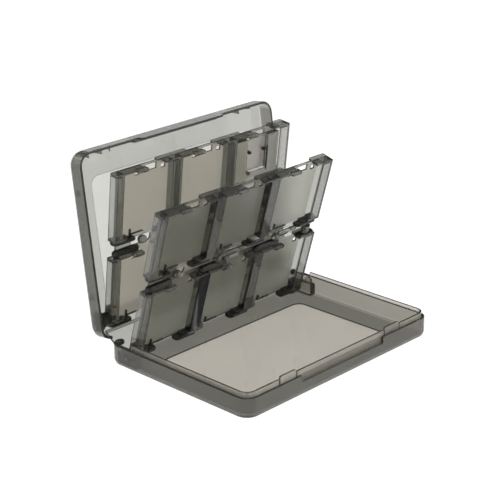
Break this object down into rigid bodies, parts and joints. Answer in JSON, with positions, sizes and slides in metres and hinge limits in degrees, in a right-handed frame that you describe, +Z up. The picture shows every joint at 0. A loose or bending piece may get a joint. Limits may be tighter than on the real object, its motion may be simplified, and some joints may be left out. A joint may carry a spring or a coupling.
{
  "type": "game card case",
  "caption": "Slim hinged storage case for handheld game cards, standing open, with folding pocket leaves between a flat tray and a lid.",
  "frame": {"origin": "centre of the flat underside of the base, on the surface it rests on", "axes": "+X along the hinges to the right, +Y from the thumb recess at the front to the hinge at the rear, +Z up"},
  "size_m": [0.136, 0.1208, 0.1059],
  "materials": {
    "smoke_base": "gloss, tinted transparent polystyrene",
    "smoke_lid": "gloss, tinted transparent polystyrene",
    "smoke_spine": "gloss, tinted transparent polystyrene",
    "smoke_front_leaf": "gloss, tinted transparent polystyrene",
    "smoke_rear_leaf": "gloss, tinted transparent polystyrene",
    "smoke_carrier": "gloss, tinted transparent polystyrene",
    "smoke_pin": "gloss, tinted transparent polystyrene"
  },
  "bodies": {
    "base": {"base_tray": "smoke_base", "front_leaf_pin_left": "smoke_pin", "front_leaf_pin_right": "smoke_pin"},
    "spine": {"spine": "smoke_spine"},
    "lid": {"lid_shell": "smoke_lid", "rear_leaf_pin_left": "smoke_pin", "rear_leaf_pin_right": "smoke_pin"},
    "front_leaf": {"front_leaf": "smoke_front_leaf"},
    "rear_leaf": {"rear_leaf": "smoke_rear_leaf", "memory_card_carrier": "smoke_carrier"}
  },
  "joints": [
    {"name": "spine_hinge", "type": "hinge", "parent": "base", "child": "spine", "pos_m": [0, 0.0459, 0.0014], "axis": [1, 0, 0], "range_deg": [-20, 55.2]},
    {"name": "lid_hinge", "type": "hinge", "parent": "spine", "child": "lid", "pos_m": [0, 0.05978, 0.01104], "axis": [1, 0, 0], "range_deg": [-15.2, 41.8]},
    {"name": "front_leaf_pivot", "type": "hinge", "parent": "base", "child": "front_leaf", "pos_m": [0, 0.0386, 0.0042], "axis": [1, 0, 0], "range_deg": [-26.8, 73.8]},
    {"name": "rear_leaf_pivot", "type": "hinge", "parent": "lid", "child": "rear_leaf", "pos_m": [0, 0.05549, 0.01963], "axis": [1, 0, 0], "range_deg": [-13.86, 5.1]}
  ],
  "couplings": [
    {"joint": "lid_hinge", "follows": "spine_hinge", "ratio": 0.75725},
    {"joint": "front_leaf_pivot", "follows": "spine_hinge", "ratio": 1.337},
    {"joint": "rear_leaf_pivot", "follows": "spine_hinge", "ratio": -0.25109}
  ]
}
